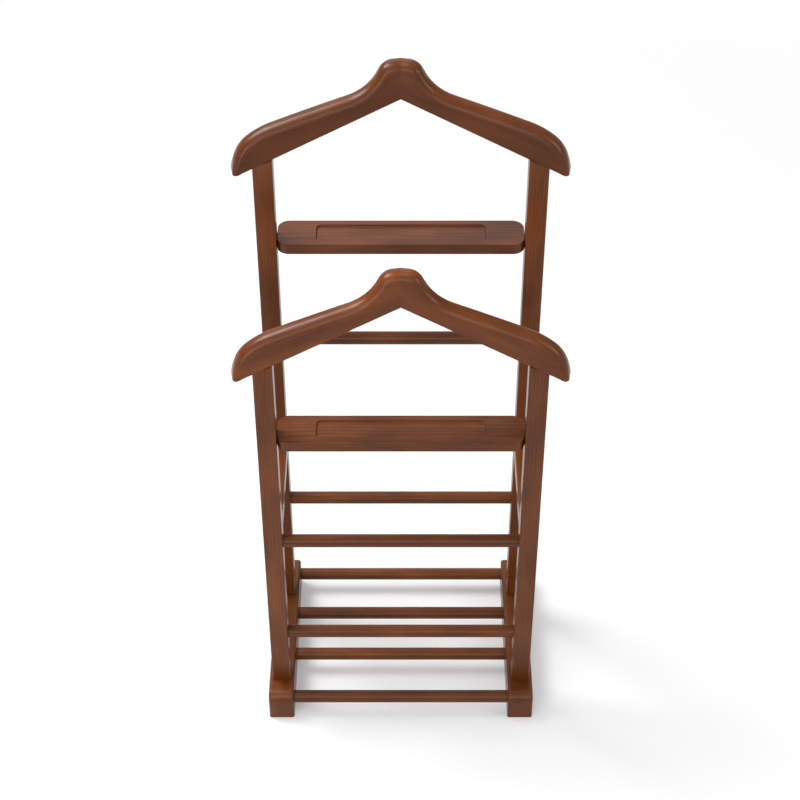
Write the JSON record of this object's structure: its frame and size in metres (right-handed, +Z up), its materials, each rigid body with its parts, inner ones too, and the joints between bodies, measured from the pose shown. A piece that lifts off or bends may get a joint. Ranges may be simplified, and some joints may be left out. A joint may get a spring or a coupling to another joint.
{
  "type": "clothes valet stand",
  "caption": "Free-standing double clothes valet in stained hardwood: a low and a high frame, each with a curved hanger, tray and trouser bar, over a shoe rack.",
  "frame": {"origin": "on the floor, in the middle of the box round the stand", "axes": "+X towards the viewer's right along the bars, +Y from the low front frame to the high rear frame, +Z up"},
  "size_m": [0.4516, 0.2888, 1.0052],
  "materials": {
    "frame_wood": "red-brown stained hardwood under satin lacquer",
    "bar_wood": "red-brown stained hardwood rod under satin lacquer",
    "dowel_wood": "plain beech, unfinished",
    "screw_steel": "zinc-plated steel",
    "glide_felt": "dark pressed felt"
  },
  "bodies": {
    "root": {"left_foot": "frame_wood", "right_foot": "frame_wood", "front_left_upright": "frame_wood", "front_right_upright": "frame_wood", "rear_left_upright": "frame_wood", "rear_right_upright": "frame_wood", "left_side_rail": "frame_wood", "right_side_rail": "frame_wood", "front_hanger_left": "frame_wood", "front_hanger_right": "frame_wood", "rear_hanger_left": "frame_wood", "rear_hanger_right": "frame_wood", "front_tray": "frame_wood", "rear_tray": "frame_wood", "front_trouser_bar": "bar_wood", "rear_trouser_bar": "bar_wood", "front_lower_bar": "bar_wood", "rear_lower_bar": "bar_wood", "shoe_bar_1": "bar_wood", "shoe_bar_2": "bar_wood", "shoe_bar_3": "bar_wood", "shoe_bar_4": "bar_wood", "mitre_dowels": "dowel_wood", "hanger_dowels": "dowel_wood", "rail_dowels": "dowel_wood", "tray_dowels": "dowel_wood", "foot_dowels": "dowel_wood", "foot_screws": "screw_steel", "foot_glides": "glide_felt"}
  },
  "joints": []
}
